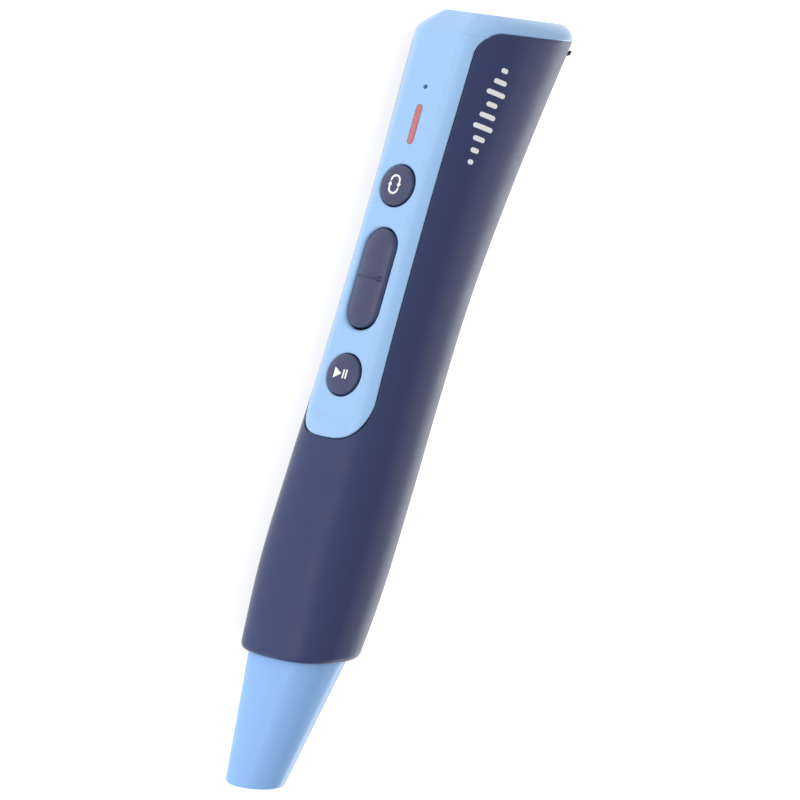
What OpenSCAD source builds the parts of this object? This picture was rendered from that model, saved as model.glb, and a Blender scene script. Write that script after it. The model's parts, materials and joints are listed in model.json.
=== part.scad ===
// Talking reading pen, lying on its side.
// Every module is drawn in the pen's own frame: z runs along the pen from the tip to the head,
// -y is the front with the buttons, and x is across. place() then lays the pen on its side.

/* [Casing] */
// Height of the casing's lower end, measured on the pen's axis
seam_s = 29.8; // [27:0.2:32]
// Height of the slanted top, measured on the pen's axis
top_s = 161.2; // [160:0.2:163]
// Distance from the axis to the flat front facet
facet_y = 11; // [10.6:0.1:11.3]
// Height where the flat facet ends, above the grip
facet_end = 76.5; // [75:0.5:78]
// Corner shape of the section: 2 is an ellipse, more is squarer
squareness = 2.5; // [2.2:0.1:2.8]
// Thickness of the casing and cover walls
wall = 1.5; // [1.3:0.1:1.6]
// Rounding of the edge round the top, at the back
top_r = 3.2; // [2.6:0.2:4]
// Rounding of the edge round the top, at the front
top_bevel = 4.6; // [3.6:0.2:5]
// Rounding of the casing's lower edge
seam_r = 1.3; // [0.8:0.1:1.6]

/* [Cover] */
// Depth of the cover's straight sides behind the facet
panel_depth = 2; // [1.6:0.1:2.4]
// Height of the cover's lower end
panel_end = 70.8; // [70:0.2:72]
// Height of the band that the cover shows round the head
band_h = 3.4; // [2.5:0.1:4]
// Rounding of the casing's corner under the band
band_r = 6; // [4:0.5:8]
// Parting gap between cover and casing
part_gap = 0.12; // [0.05:0.01:0.2]

/* [Nose] */
// Radius of the nose at the tip
tip_r = 5.65; // [5.2:0.05:6]
// Height of the tip on the axis
tip_s = 3.6; // [3:0.1:4.4]
// Half width of the nose where it enters the casing
nose_w = 9.4; // [9:0.1:9.5]
// Half depth of the nose where it enters the casing
nose_b = 8.3; // [8:0.1:8.4]
// Thickness of the nose's wall
nose_wall = 1.3; // [1:0.1:1.5]

/* [Controls] */
// Radius of the two round buttons
button_r = 4.1; // [3.8:0.1:4.3]
// How far the controls stand out of the facet
button_proud = 0.8; // [0.5:0.1:1]
// Length of the volume rocker
rocker_l = 20.2; // [18:0.2:20.4]
// Width of the volume rocker
rocker_w = 8; // [7.4:0.2:8.2]
// Height of the play button's centre
play_z = 83.8; // [83:0.1:84.5]
// Height of the rocker's centre
rocker_z = 103.5; // [103:0.1:104]
// Height of the repeat button's centre
repeat_z = 122.4; // [122:0.1:123]
// Height of the light bar's centre
light_z = 135; // [134:0.2:136]
// Height of the microphone hole
mic_z = 142.7; // [142:0.1:143.5]

/* [Power and sockets] */
// Thickness of the cell
cell_t = 8.4; // [7:0.2:8.6]
// Width of the cell
cell_w = 15; // [12:0.5:15.5]
// Length of the cell
cell_l = 46; // [38:1:47]
// Radius of the headphone socket's bore
jack_bore_r = 1.75; // [1.74:0.01:1.8]
// Radius of the speaker
speaker_r = 7; // [6:0.25:7.25]

/* [Hidden] */
$fn = 48;

navy = [0.17, 0.18, 0.29];
sky = [0.53, 0.73, 0.95];
dark = [0.12, 0.12, 0.14];
board_green = [0.1, 0.35, 0.22];
steel = [0.75, 0.76, 0.78];
gold = [0.8, 0.65, 0.35];
white = [0.93, 0.93, 0.95];

// Casing stations up the pen: [height, front depth, back depth, half width]
STATIONS = [
    [8, 9.6, 6.6, 10.4],
    [26, 10.9, 8.3, 11.1],
    [45, 12.3, 10.4, 11.8],
    [65, 12.05, 11.3, 11.65],
    [85, 11.8, 12.3, 10.95],
    [105, 11.8, 13.4, 10.65],
    [125, 11.8, 15.8, 10.9],
    [145, 11.8, 18.7, 11.75],
    [166, 11.8, 22.5, 12.6],
    [187, 11.8, 26.5, 13.3]
];
FRONT = 1;
BACK = 2;
WIDTH = 3;

seam_slope = 0.3;        // the lower end rises towards the back
top_slope = 0.233;       // and so does the top
edge_power = 4 / 3;      // makes the edge round the top, and the cover's corners, flatter than an arc
facet_ramp = 5;          // length of the ramp from the facet down to the grip
facet_rise = 1.6;        // how far the ramp lets the section come forward
band_tilt = atan(top_slope);
nose_slope = 0.287;      // slant of the nose's mouth
tip_y = -3.2;            // centre of the nose at its tip
nose_shift = 1.95;       // how far that centre moves back by the casing
panel_corner = [3.2, 9]; // rounding of the cover's lower corners, in y and in z

facets = 52;             // points round a casing ring
far = 60;                // beyond the pen in any direction
eps = 0.01;

inner_y = -facet_y + wall;          // inner face of the cover
board_y = -6.4;                     // front face of the main board
board_t = 1;
board_back = board_y + board_t;
flange_gap = 0.1;
flange_t = 0.7;
flange_y = inner_y + flange_gap;    // a round button's flange rests here
stem_y = flange_y + flange_t;
plunger_y = stem_y + 0.4;
plunger_r = 1.2;
plunger_l = 1.1;
switch_h = 1.3;
switch_w = 4.6;
button_gap = 0.25;
pin_r = 0.6;
pin_y = -8;
pin_clear = 0.05;

// Where the pen's box lies, so that its origin is under the middle of it
box_low = tip_s + nose_slope * (tip_y - tip_r) + 0.15;
box_high = top_s + top_slope * 19.2;
rest_w = 12.304;
box_front = -12.34;
box_back = 22.02;

module place()
    translate([(box_low + box_high) / 2, -(box_front + box_back) / 2, rest_w])
        rotate([0, -90, 0])
            children();

// ---- profile and section functions ----

function smooth_step(t) =
    let (u = min(max(t, 0), 1))
    u * u * (3 - 2 * u);

function station_index(z) =
    max([1, for (i = [1 : len(STATIONS) - 3]) if (STATIONS[i][0] <= z) i]);

function station_slope(i, column) =
    (STATIONS[i + 1][column] - STATIONS[i - 1][column]) / (STATIONS[i + 1][0] - STATIONS[i - 1][0]);

// A smooth curve through the stations
function profile(z, column) =
    let (i = station_index(z),
         low = STATIONS[i],
         high = STATIONS[i + 1],
         step = high[0] - low[0],
         t = (z - low[0]) / step,
         m0 = station_slope(i, column) * step,
         m1 = station_slope(i + 1, column) * step)
    (2 * pow(t, 3) - 3 * t * t + 1) * low[column] + (pow(t, 3) - 2 * t * t + t) * m0
    + (3 * t * t - 2 * pow(t, 3)) * high[column] + (pow(t, 3) - t * t) * m1;

function superellipse(t, a, b, n) =
    [a * sign(cos(t)) * pow(abs(cos(t)), 2 / n), b * sign(sin(t)) * pow(abs(sin(t)), 2 / n)];

// Distance from the axis to the plane or ramp that flattens the front
function facet_at(z) = facet_y + facet_rise * smooth_step((facet_end - z) / facet_ramp);

function section(z, t, inset) =
    let (front = profile(z, FRONT),
         back = profile(z, BACK),
         p = superellipse(t, profile(z, WIDTH) - inset, (front + back) / 2 - inset, squareness),
         y = p[1] + (back - front) / 2)
    [p[0], max(y, -(facet_at(z) - inset))];

function ring_slope(s) = seam_slope + (top_slope - seam_slope) * (s - seam_s) / (top_s - seam_s);

// A point on the slanted ring at height s on the axis
function casing_point(s, t, inset) =
    let (k = ring_slope(s),
         z = s + k * section(s, t, inset)[1],
         p = section(z, t, inset))
    [p[0], p[1], s + k * p[1]];

function casing_ring(s, inset) = [for (i = [0 : facets - 1]) casing_point(s, 360 * i / facets, inset)];

function top_round(t) = top_r + (top_bevel - top_r) * (1 - sin(t)) / 2;

// A ring on the rounded edge of the top, a depth under the surface; a goes from 0 to 90
function top_ring(a, depth) =
    [for (i = [0 : facets - 1])
        let (t = 360 * i / facets,
             r = top_round(t))
        casing_point(top_s - r + (r - depth) * pow(sin(a), edge_power), t,
                     r - (r - depth) * pow(cos(a), edge_power))];

function nose_t(s) = min((s - tip_s) / (seam_s - tip_s), 1);

// One slanted ring of the nose
function nose_ring(s, inset) =
    let (t = nose_t(s),
         w = tip_r + (nose_w - tip_r) * t - inset,
         b = tip_r + (nose_b - tip_r) * t - inset,
         y0 = tip_y + nose_shift * t,
         n = 2 + (squareness - 2) * t)
    [for (i = [0 : facets - 1])
        let (p = superellipse(360 * i / facets, w, b, n))
        [p[0], p[1] + y0, s + nose_slope * (p[1] + y0)]];

// ---- shapes made from rings ----

function side_faces(count, rings, closed) =
    [for (j = [0 : rings - (closed ? 1 : 2)], i = [0 : count - 1], half = [0, 1])
        let (i2 = (i + 1) % count,
             j2 = (j + 1) % rings,
             a = j * count + i,
             b = j * count + i2,
             c = j2 * count + i2,
             d = j2 * count + i)
        half == 0 ? [a, d, c] : [a, c, b]];

function joined(lists) = [for (l = lists) for (p = l) p];

// An end face: one polygon, or on a thin curved ring a strip of quads across it
function end_faces(count, strip) = !strip
    ? [[for (i = [0 : count - 1]) i]]
    : [for (i = [0 : count / 2 - 2]) [i, i + 1, count - 2 - i, count - 1 - i]];

function raised(faces, by) = [for (f = faces) [for (i = [len(f) - 1 : -1 : 0]) f[i] + by]];

module loft(rings, strip = false) {
    count = len(rings[0]);
    ends = end_faces(count, strip);
    polyhedron(
        joined(rings),
        concat(ends, raised(ends, (len(rings) - 1) * count), side_faces(count, len(rings), false))
    );
}

// Rings up the outside and down the inside, joined into one tube
module tube(rings) {
    polyhedron(joined(rings), side_faces(len(rings[0]), len(rings), true));
}

casing_heights = [
    for (s = [34 : 7 : 69]) s,
    73.5, 76, 78, 79.6, 81, 88,
    for (s = [98 : 10 : 148]) s
];

// The whole outside of the casing and cover, with rounded ends
module casing_skin()
    loft(concat(
        [for (a = [80 : -20 : 0]) casing_ring(seam_s + seam_r * (1 - sin(a)), seam_r * (1 - cos(a)))],
        [for (s = casing_heights) casing_ring(s, 0)],
        [for (a = [0 : 15 : 90]) top_ring(a, 0)]
    ));

// The room inside; it runs out through the lower end
module casing_room()
    loft(concat(
        [casing_ring(seam_s - 4, wall + 0.1)],
        [for (s = casing_heights) casing_ring(s, wall)],
        [for (a = [0 : 30 : 90]) top_ring(a, wall)]
    ));

// Side outline of the cover, grown by a margin and swept across the pen
module cover_region(grow) {
    split_y = -facet_y + panel_depth + grow;
    end_z = panel_end - grow;
    band_z = top_s - band_h - grow;
    corner = panel_corner;
    fillet_z = band_z + top_slope * (split_y + band_r) - band_r / cos(band_tilt);
    rotate([90, 0, 90])
        linear_extrude(height = far, center = true)
            polygon([
                [-far, end_z],
                for (a = [0 : 10 : 90])
                    [split_y - corner[0] * (1 - pow(sin(a), edge_power)),
                     end_z + corner[1] * (1 - pow(cos(a), edge_power))],
                for (a = [180 : -8 : 90 + band_tilt])
                    [split_y + band_r * (1 + cos(a)), fillet_z + band_r * sin(a)],
                [far, band_z + top_slope * far],
                [far, 4 * far],
                [-far, 4 * far]
            ]);
}

// ---- helpers ----

// Stands a shape on the front, its own z pointing out of the facet
module facing_front(y, z)
    translate([0, y, z])
        rotate([90, 0, 0])
            children();

module stadium(length, width) {
    square([width, length - width], center = true);
    for (side = [-1, 1])
        translate([0, side * (length - width) / 2])
            circle(d = width);
}

function unit(v) = v / norm(v);

// A lead that runs in one plane across the pen; its route is a list of [y, z]
module lead(x, route, r) {
    last = len(route) - 1;
    loft([for (i = [0 : last])
        let (before = unit(route[max(i, 1)] - route[max(i, 1) - 1]),
             after = unit(route[min(i, last - 1) + 1] - route[min(i, last - 1)]),
             way = unit(before + after),
             side = [way[1], -way[0]] / (way * before))
        [for (a = [0 : 45 : 315]) [x + r * cos(a), route[i][0] - r * sin(a) * side[0],
                                   route[i][1] - r * sin(a) * side[1]]]]);
}

module block(low, high)
    translate(low)
        cube(high - low);

function back_at(z) = profile(z, BACK);
function back_tilt(z) = atan((back_at(z + 6) - back_at(z - 6)) / 12);

// Puts a shape under the back wall, its own z pointing out of the pen
module facing_back(z, depth)
    translate([0, back_at(z), z])
        rotate([-90 - back_tilt(z), 0, 0])
            translate([0, 0, -depth])
                children();

// ---- speaker and port places ----

speaker_z = 130.5;
magnet_r = 3.6;
slot_r = 0.55;
slot_pitch = 2.1;
slot_rows = 3;
port_low = 145.3;
port_high = 160.6;
port_half = 5.9;
pocket_depth = 1.1;
usb_z = 149.6;
jack_z = 155.7;
flap_t = 0.9;
flap_pin_r = 0.4;
flap_pin_z = port_low - 0.1;
flap_pin_y = back_at(flap_pin_z) - 0.62;
flap_pin_half = 3;

// ---- casing ----

module speaker_slots()
    for (row = [-slot_rows : slot_rows]) {
        half = sqrt(pow(speaker_r - 0.6, 2) - pow(row * slot_pitch, 2) * 0.8) - slot_r;
        facing_back(speaker_z, 0)
            hull()
                for (side = [-1, 1])
                    translate([side * half, row * slot_pitch, 0])
                        cylinder(r = slot_r, h = 9, center = true, $fn = 20);
    }

// Points on the back, a depth under the surface
function back_point(x, z, depth) =
    let (front = profile(z, FRONT),
         back = profile(z, BACK),
         fall = 1 - pow(abs(x) / profile(z, WIDTH), squareness))
    [x, (back - front) / 2 + (front + back) / 2 * pow(fall, 1 / squareness) - depth, z];

// A curved plate that follows the back of the head. Each row has a height, a half width, and
// the depths of its outer and inner faces.
module back_plate(rows) {
    across = 8;
    loft([for (row = rows)
        concat(
            [for (i = [0 : across]) back_point(row[1] * (1 - 2 * i / across), row[0], row[2])],
            [for (i = [across : -1 : 0]) back_point(row[1] * (1 - 2 * i / across), row[0], row[3])]
        )], strip = true);
}

module body_shell() color(navy) place() {
    difference() {
        casing_skin();
        casing_room();
        cover_region(part_gap);
        speaker_slots();
        back_plate([for (z = [port_low - 1.1, 150, 155, port_high + 0.15])
            [z, port_half + 0.2, -1, pocket_depth]]);
        hull()
            for (side = [-1, 1])
                translate([side * 2.85, 14, usb_z])
                    rotate([-90, 0, 0])
                        cylinder(r = 1.75, h = 12, $fn = 24);
        translate([0, 14, jack_z])
            rotate([-90, 0, 0])
                cylinder(r = 3.1, h = 12);
    }
}

hook_x = 4.8;
hook_l = 5;

// Tapered ribs that steady the cover in the casing
module cover_hooks()
    for (z = [93.4, 114, 148], side = [-1, 1])
        hull() {
            translate([side * hook_x, inner_y - 0.3, z])
                cube([0.9, 0.4, hook_l], center = true);
            translate([side * hook_x, inner_y + 1.5, z])
                cube([0.6, 0.4, hook_l - 1.4], center = true);
        }

screw_posts = [[0, 76.6], [-3.9, 128.4], [3.9, 128.4], [0, 148.4]];
post_r = 1.5;
screw_r = 0.7;
flange_r = button_r + 1;

module front_cover() color(sky) place() {
    difference() {
        union() {
            difference() {
                intersection() {
                    casing_skin();
                    cover_region(0);
                }
                casing_room();
            }
            cover_hooks();
            for (p = screw_posts)
                facing_front(board_y - 0.05, p[1])
                    translate([p[0], 0, 0])
                        cylinder(r = post_r, h = board_y - inner_y + 0.15, $fn = 24);
        }
        for (z = [play_z, repeat_z]) {
            facing_front(inner_y + 1, z) {
                cylinder(r = button_r + button_gap, h = 6);
                translate([0, 0, wall + 1 - 0.3])
                    cylinder(r1 = button_r + button_gap, r2 = button_r + button_gap + 0.4, h = 0.4);
            }
            facing_front(board_y, z)
                cylinder(r = flange_r + 0.3, h = board_y - inner_y);
        }
        facing_front(inner_y + 1, rocker_z) {
            linear_extrude(height = 6)
                stadium(rocker_l + 0.6, rocker_w + 0.6);
            hull() {
                translate([0, 0, wall + 1 - 0.5])
                    linear_extrude(height = eps)
                        stadium(rocker_l + 0.6, rocker_w + 0.6);
                translate([0, -0.3, wall + 1])
                    linear_extrude(height = 1)
                        stadium(rocker_l + 1.8, rocker_w + 1.2);
            }
        }
        facing_front(inner_y + 1, light_z)
            linear_extrude(height = 6)
                stadium(8.2, 1.6);
        facing_front(inner_y + 1, mic_z)
            cylinder(r = 0.5, h = 6);
        for (p = screw_posts)
            facing_front(board_y + 1, p[1])
                translate([p[0], 0, 0])
                    cylinder(r = screw_r, h = 3.2, $fn = 24);
    }
}

// ---- nose and sensor ----

plug_s = 38;  // top of the nose's plug inside the casing

module nose_cone() color(sky) place()
    tube([
        nose_ring(tip_s, nose_wall),
        nose_ring(tip_s, 0.5),
        nose_ring(tip_s + 0.15, 0.15),
        nose_ring(tip_s + 0.5, 0),
        nose_ring(17, 0),
        nose_ring(seam_s, 0),
        nose_ring(plug_s, 0),
        nose_ring(plug_s, nose_wall),
        nose_ring(seam_s, nose_wall),
        nose_ring(17, nose_wall)
    ]);

module nose_gasket() color(dark) place()
    tube([
        nose_ring(plug_s, nose_wall),
        nose_ring(plug_s, 0.2),
        nose_ring(plug_s + 0.8, 0.2),
        nose_ring(plug_s + 0.8, nose_wall)
    ]);

module tip_window() color([0.25, 0.08, 0.1]) place()
    loft([nose_ring(tip_s + 1.6, nose_wall + 0.05), nose_ring(tip_s + 2.6, nose_wall + 0.05)]);

module light_shroud() color(dark) place()
    tube([
        nose_ring(11, nose_wall + 0.8),
        nose_ring(11, nose_wall + 0.15),
        nose_ring(seam_s, nose_wall + 0.15),
        nose_ring(plug_s - 1, nose_wall + 0.15),
        nose_ring(plug_s - 1, nose_wall + 0.8),
        nose_ring(seam_s, nose_wall + 0.8)
    ]);

sight_y = -1.2;
sensor_z = 46.5;
sensor_board_r = 7.9;

module on_sight(z)
    translate([0, sight_y, z])
        children();

module camera_lens() color(dark) place()
    on_sight(sensor_z - 7.5)
        rotate_extrude()
            polygon([[0, 0.8], [1.6, 0], [2.6, 0], [2.9, 0.4], [2.9, 2], [2.6, 2], [2.6, 4], [0, 4]]);

module camera_module() color(steel) place()
    on_sight(sensor_z - 1.75)
        cube([7.5, 7.5, 3.5], center = true);

module infrared_lamps() color(white) place()
    for (side = [-1, 1])
        translate([side * 5.6, sight_y, sensor_z - 3.6]) {
            cylinder(r = 1.5, h = 3.6);
            sphere(r = 1.5);
        }

holder_screw_y = 6.1;

module sensor_board() color(board_green) place()
    on_sight(sensor_z)
        difference() {
            cylinder(r = sensor_board_r, h = 1);
            for (side = [-1, 1])
                translate([0, side * holder_screw_y, -1])
                    cylinder(r = screw_r + 0.1, h = 3);
        }

module camera_holder() color(dark) place()
    on_sight(sensor_z - 3)
        difference() {
            cylinder(r = 8.5, h = 6.4);
            translate([0, 0, -1])
                cylinder(r = sensor_board_r + 0.1, h = 5);
            cylinder(r = 4.9, h = 8);
            for (side = [-1, 1])
                translate([0, side * holder_screw_y, 0])
                    cylinder(r = screw_r, h = 8);
        }

module holder_screws() color(steel) place()
    for (side = [-1, 1])
        on_sight(sensor_z)
            translate([0, side * holder_screw_y, -0.8])
                screw(3.6);

// Head and shank; the head's outer face is at z = 0
module screw(length)
    rotate_extrude()
        polygon([
            [0, 0.3], [0.5, 0.3], [0.5, 0], [1.1, 0], [1.3, 0.2], [1.3, 0.8],
            [screw_r - 0.02, 0.8], [screw_r - 0.02, length - 0.5], [0, length]
        ]);

module sensor_cable() color(gold) place() {
    route = [[-4.2, 47.6], [-4.2, 50.5], [-5.25, 54], [-5.25, 74.8]];
    half = 0.1;
    rotate([90, 0, 90])
        linear_extrude(height = 5, center = true)
            polygon(concat(
                [for (p = route) p - [half, 0]],
                [for (i = [len(route) - 1 : -1 : 0]) route[i] + [half, 0]]
            ));
}

// ---- main board ----

board_low = 73.8;
board_high = 150;
board_half = 7.4;

module main_board() color(board_green) place()
    difference() {
        block([-board_half, board_y, board_low], [board_half, board_back, board_high]);
        for (p = screw_posts)
            facing_front(board_back + 1, p[1])
                translate([p[0], 0, 0])
                    cylinder(r = screw_r + 0.1, h = 3);
    }

// A chip on the back of the main board
module chip(x, z, size)
    translate([x - size[0] / 2, board_back, z - size[1] / 2])
        cube([size[0], size[2], size[1]]);

module processor() color(dark) place() {
    chip(0, 113, [8, 8, 1]);
    for (side = [-1, 1], i = [-4 : 4])
        chip(side * 4.3, 113 + i * 0.8, [0.6, 0.35, 0.3]);
}

module memory_chip() color(dark) place()
    chip(0, 122, [8, 5, 0.9]);

module crystal() color(steel) place()
    translate([-3, board_back + 0.6, 105.8])
        rotate([0, 90, 0])
            cylinder(r = 0.6, h = 6);

module board_capacitors() color(gold) place()
    for (x = [-6.4, 6.4], z = [110, 113, 116, 119])
        chip(x, z, [0.8, 1.6, 0.8]);

module board_screws() color(steel) place()
    for (p = screw_posts)
        translate([p[0], board_back + 0.8, p[1]])
            rotate([90, 0, 0])
                screw(3.8);

// ---- round buttons ----

module round_button(z)
    facing_front(stem_y + 0.4, z) {
        top = button_proud + facet_y + stem_y + 0.4;
        edge = 0.5;
        flange_low = 0.4;
        rotate_extrude()
            polygon([
                [0, 0], [1.5, 0], [1.5, flange_low], [flange_r, flange_low],
                [flange_r, flange_low + flange_t], [button_r, flange_low + flange_t],
                for (a = [0 : 15 : 90])
                    [button_r - edge * (1 - cos(a)), top - edge * (1 - sin(a))],
                [0, top]
            ]);
    }

module plunger(z)
    facing_front(plunger_y + plunger_l, z)
        cylinder(r = plunger_r, h = plunger_l);

module push_switch(z)
    facing_front(board_y, z)
        difference() {
            translate([-switch_w / 2, -switch_w / 2, 0])
                cube([switch_w, switch_w, switch_h]);
            translate([0, 0, 0.2])
                cylinder(r = plunger_r + 0.06, h = 3);
        }

icon_y = -facet_y - button_proud;
icon_t = 0.12;

// Two arrows that chase each other round a narrow loop
module repeat_icon() color(white) place()
    facing_front(icon_y, repeat_z)
        linear_extrude(height = icon_t)
            for (turn = [0, 180])
                rotate(turn) {
                    translate([0, 0.7])
                        intersection() {
                            difference() {
                                circle(r = 1.3);
                                circle(r = 0.9);
                            }
                            translate([-2, 0])
                                square([4, 2]);
                        }
                    translate([0.9, 0])
                        square([0.4, 0.8]);
                    polygon([[0.6, 0.2], [1.6, 0.2], [1.1, -0.6]]);
                }

// A triangle and two bars
module play_icon() color(white) place()
    facing_front(icon_y, play_z)
        linear_extrude(height = icon_t) {
            polygon([[-1.7, -1.1], [-1.7, 1.1], [0.1, 0]]);
            for (x = [0.5, 1.2])
                translate([x, -0.9])
                    square([0.35, 1.8]);
        }

module repeat_button() color(navy) place() round_button(repeat_z);
module repeat_plunger() color(steel) place() plunger(repeat_z);
module repeat_switch() color(dark) place() push_switch(repeat_z);
module play_button() color(navy) place() round_button(play_z);
module play_plunger() color(steel) place() plunger(play_z);
module play_switch() color(dark) place() push_switch(play_z);

// ---- volume rocker ----

nub_z = 7.2;
nub_end = -8.2;
rocker_back = inner_y;
lug_half = 1.3;

module volume_rocker() color(navy) place() {
    facing_front(rocker_back, rocker_z) {
        full = button_proud + facet_y + rocker_back;
        difference() {
            linear_extrude(height = full)
                stadium(rocker_l, rocker_w);
            translate([-rocker_w / 2 - 1, -0.2, full - 0.25])
                cube([rocker_w + 2, 0.4, 1]);
        }
    }
    for (side = [-1, 1])
        facing_front(nub_end, rocker_z + side * nub_z)
            cylinder(r = 1, h = nub_end - rocker_back + eps);
    difference() {
        block([-2.2, rocker_back - eps, rocker_z - lug_half], [2.2, pin_y + 1.05, rocker_z + lug_half]);
        translate([-5, pin_y, rocker_z])
            rotate([0, 90, 0])
                cylinder(r = pin_r + pin_clear, h = 10);
    }
}

module rocker_pin() color(steel) place()
    translate([-4.4, pin_y, rocker_z])
        rotate([0, 90, 0])
            cylinder(r = pin_r, h = 8.8);

module rocker_bracket() color(steel) place()
    difference() {
        union() {
            block([-4.1, board_y - 0.4, rocker_z - 2.4], [4.1, board_y, rocker_z + 2.4]);
            for (x = [-4.1, 2.7])
                block([x, pin_y - 1.1, rocker_z - 1.6], [x + 1.4, board_y, rocker_z + 1.6]);
        }
        translate([-6, pin_y, rocker_z])
            rotate([0, 90, 0])
                cylinder(r = pin_r, h = 12);
    }

module volume_switches() color(dark) place()
    for (side = [-1, 1])
        facing_front(board_y, rocker_z + side * nub_z) {
            translate([-1.8, -1.8, 0])
                cube([3.6, 3.6, 1]);
            cylinder(r = 1.1, h = 1.35);
        }

// ---- light and microphone ----

module light_bar() color([0.84, 0.45, 0.45]) place()
    facing_front(inner_y + 0.9, light_z) {
        linear_extrude(height = wall + 0.9 + 0.06)
            stadium(8.1, 1.5);
        linear_extrude(height = 0.85)
            stadium(9.6, 3);
    }

module status_lamp() color(white) place()
    facing_front(board_y, light_z)
        translate([-0.8, -1.6, 0])
            cube([1.6, 3.2, 0.9]);

module microphone() color(steel) place()
    facing_front(board_y, mic_z)
        cylinder(r = 2, h = 2);

module microphone_boot() color(dark) place()
    facing_front(board_y - 0.1, mic_z)
        difference() {
            cylinder(r = 2.6, h = board_y - inner_y - 0.12);
            translate([0, 0, -1])
                cylinder(r = 2.02, h = 3);
            cylinder(r = 0.7, h = 6);
        }

// ---- battery ----

cell_y = -4.4;
cell_z = 56;

module battery() color(steel) place() {
    r = 2;
    translate([0, cell_y, cell_z])
        linear_extrude(height = cell_l) {
            translate([-cell_w / 2 + r, 0])
                square([cell_w - 2 * r, cell_t]);
            translate([-cell_w / 2, r])
                square([cell_w, cell_t - 2 * r]);
            for (x = [-1, 1], y = [r, cell_t - r])
                translate([x * (cell_w / 2 - r), y])
                    circle(r = r);
        }
}

module battery_pad() color(dark) place()
    block([-4, cell_y + cell_t, 66], [4, 9, 92]);

module battery_plug() color(white) place()
    block([2, board_back, 130.5], [6.5, board_back + 2.6, 134]);

battery_route = [[0.2, cell_z + cell_l + 0.05], [0.2, 122], [-1, 126], [-3.5, 128.5], [-4.1, 130.45]];

module battery_leads() place()
    for (x = [3.2, 5.2])
        color(x < 4 ? "black" : "red")
            lead(x, battery_route, 0.45);

// ---- speaker ----

speaker_set = 2.4;  // the flat speaker stays this much clear of the curved wall

module on_speaker(depth)
    facing_back(speaker_z, wall + 0.1 + speaker_set + depth)
        children();

module speaker_gasket() color(dark) place()
    on_speaker(1.2)
        difference() {
            cylinder(r = speaker_r, h = 0.6);
            translate([0, 0, -1])
                cylinder(r = speaker_r - 1.2, h = 3);
        }

module speaker_basket() color(dark) place()
    on_speaker(4)
        difference() {
            cylinder(r = speaker_r, h = 2.75);
            translate([0, 0, 0.8])
                cylinder(r = speaker_r - 0.8, h = 3);
            translate([0, 0, -1])
                cylinder(r = magnet_r + 0.05, h = 3);
        }

module speaker_cone() color([0.3, 0.3, 0.32]) place()
    on_speaker(2.6)
        rotate_extrude()
            polygon([
                [0, 0.55], [1.8, 0.35], [2.8, -0.2], [4.4, 0.3], [5.5, 0.3], [speaker_r - 0.85, 0],
                [speaker_r - 0.85, 0.3], [5.5, 0.6], [4.4, 0.6], [2.8, 0.1], [1.8, 0.65], [0, 0.85]
            ]);

module speaker_magnet() color(steel) place()
    on_speaker(5.6)
        cylinder(r = magnet_r, h = 2.3);

module speaker_clamp() color(dark) place()
    on_speaker(4.7)
        difference() {
            cylinder(r = speaker_r, h = 0.65);
            translate([0, 0, -1])
                cylinder(r = magnet_r + 0.8, h = 3);
        }

speaker_route = [[board_back + 0.5, 137], [board_back + 0.6, 139], [-1, 142], [4, 143], [8, 142]];

module speaker_leads() place()
    for (x = [-4.6, -2.9])
        color(x < -4 ? "black" : "red")
            lead(x, speaker_route, 0.4);

// ---- sockets and flap ----

usb_w = 8.94;
usb_h = 3.26;
usb_mouth = back_at(usb_z) - pocket_depth - 0.9;

module usb_outline(shrink)
    hull()
        for (side = [-1, 1])
            translate([side * (usb_w - usb_h) / 2, 0])
                circle(d = usb_h - 2 * shrink, $fn = 24);

module usb_socket() color(steel) place()
    translate([0, usb_mouth, usb_z])
        rotate([90, 0, 0])
            difference() {
                linear_extrude(height = 7.3)
                    usb_outline(0);
                translate([0, 0, -1])
                    linear_extrude(height = 7.5)
                        usb_outline(0.3);
            }

module usb_tongue() color(dark) place()
    block([-3.35, usb_mouth - 6.5, usb_z - 0.35], [3.35, usb_mouth - 0.8, usb_z + 0.35]);

jack_l = 15;
jack_mouth = back_at(jack_z) - pocket_depth - 0.7;

module headphone_socket() color(dark) place()
    translate([0, jack_mouth, jack_z])
        rotate([90, 0, 0])
            difference() {
                union() {
                    cylinder(r = 2.9, h = 2);
                    translate([-3, -2.9, 2])
                        cube([6, 5.5, jack_l - 2]);
                }
                translate([0, 0, -1])
                    cylinder(r = jack_bore_r, h = jack_l);
            }

module port_board() color(board_green) place()
    block([-7.5, 3, usb_z + usb_h / 2 + 0.02], [7.5, usb_mouth - 3, jack_z - 2.92]);

lip_low = port_high - 1;
lip_high = port_high - 0.1;
lip_half = 8.7;
lip_gap = 0.12;
lip_rise = 0.55;
lip_flare = 0.8;    // how much more it rises at its ends

// The pull lip: a strip that lies over the casing and wraps round the back's corners
module pull_lip() {
    across = 18;
    function lip_point(i, z, rise) =
        let (share = 1 - 2 * i / across)
        back_point(lip_half * share, z, -rise * (1 + lip_flare * share * share));
    loft([for (z = [lip_low, lip_high])
        concat(
            [for (i = [0 : across]) lip_point(i, z, lip_rise)],
            [for (i = [across : -1 : 0]) lip_point(i, z, lip_gap)]
        )], strip = true);
}

module port_flap() color(dark) place() {
    back_plate([
        [flap_pin_z, flap_pin_half, 0.4, flap_t],
        [port_low + 1.2, flap_pin_half, 0.4, flap_t],
        [port_low + 1.25, port_half, 0, flap_t],
        [150, port_half, 0, flap_t],
        [155, port_half, 0, flap_t],
        [lip_low - 0.2, port_half, 0, flap_t],
        [lip_low, port_half, -0.5, flap_t],
        [lip_high, port_half, -0.5, flap_t]
    ]);
    pull_lip();
    translate([-flap_pin_half, flap_pin_y, flap_pin_z])
        rotate([0, 90, 0])
            cylinder(r = flap_pin_r, h = 2 * flap_pin_half);
}

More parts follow.
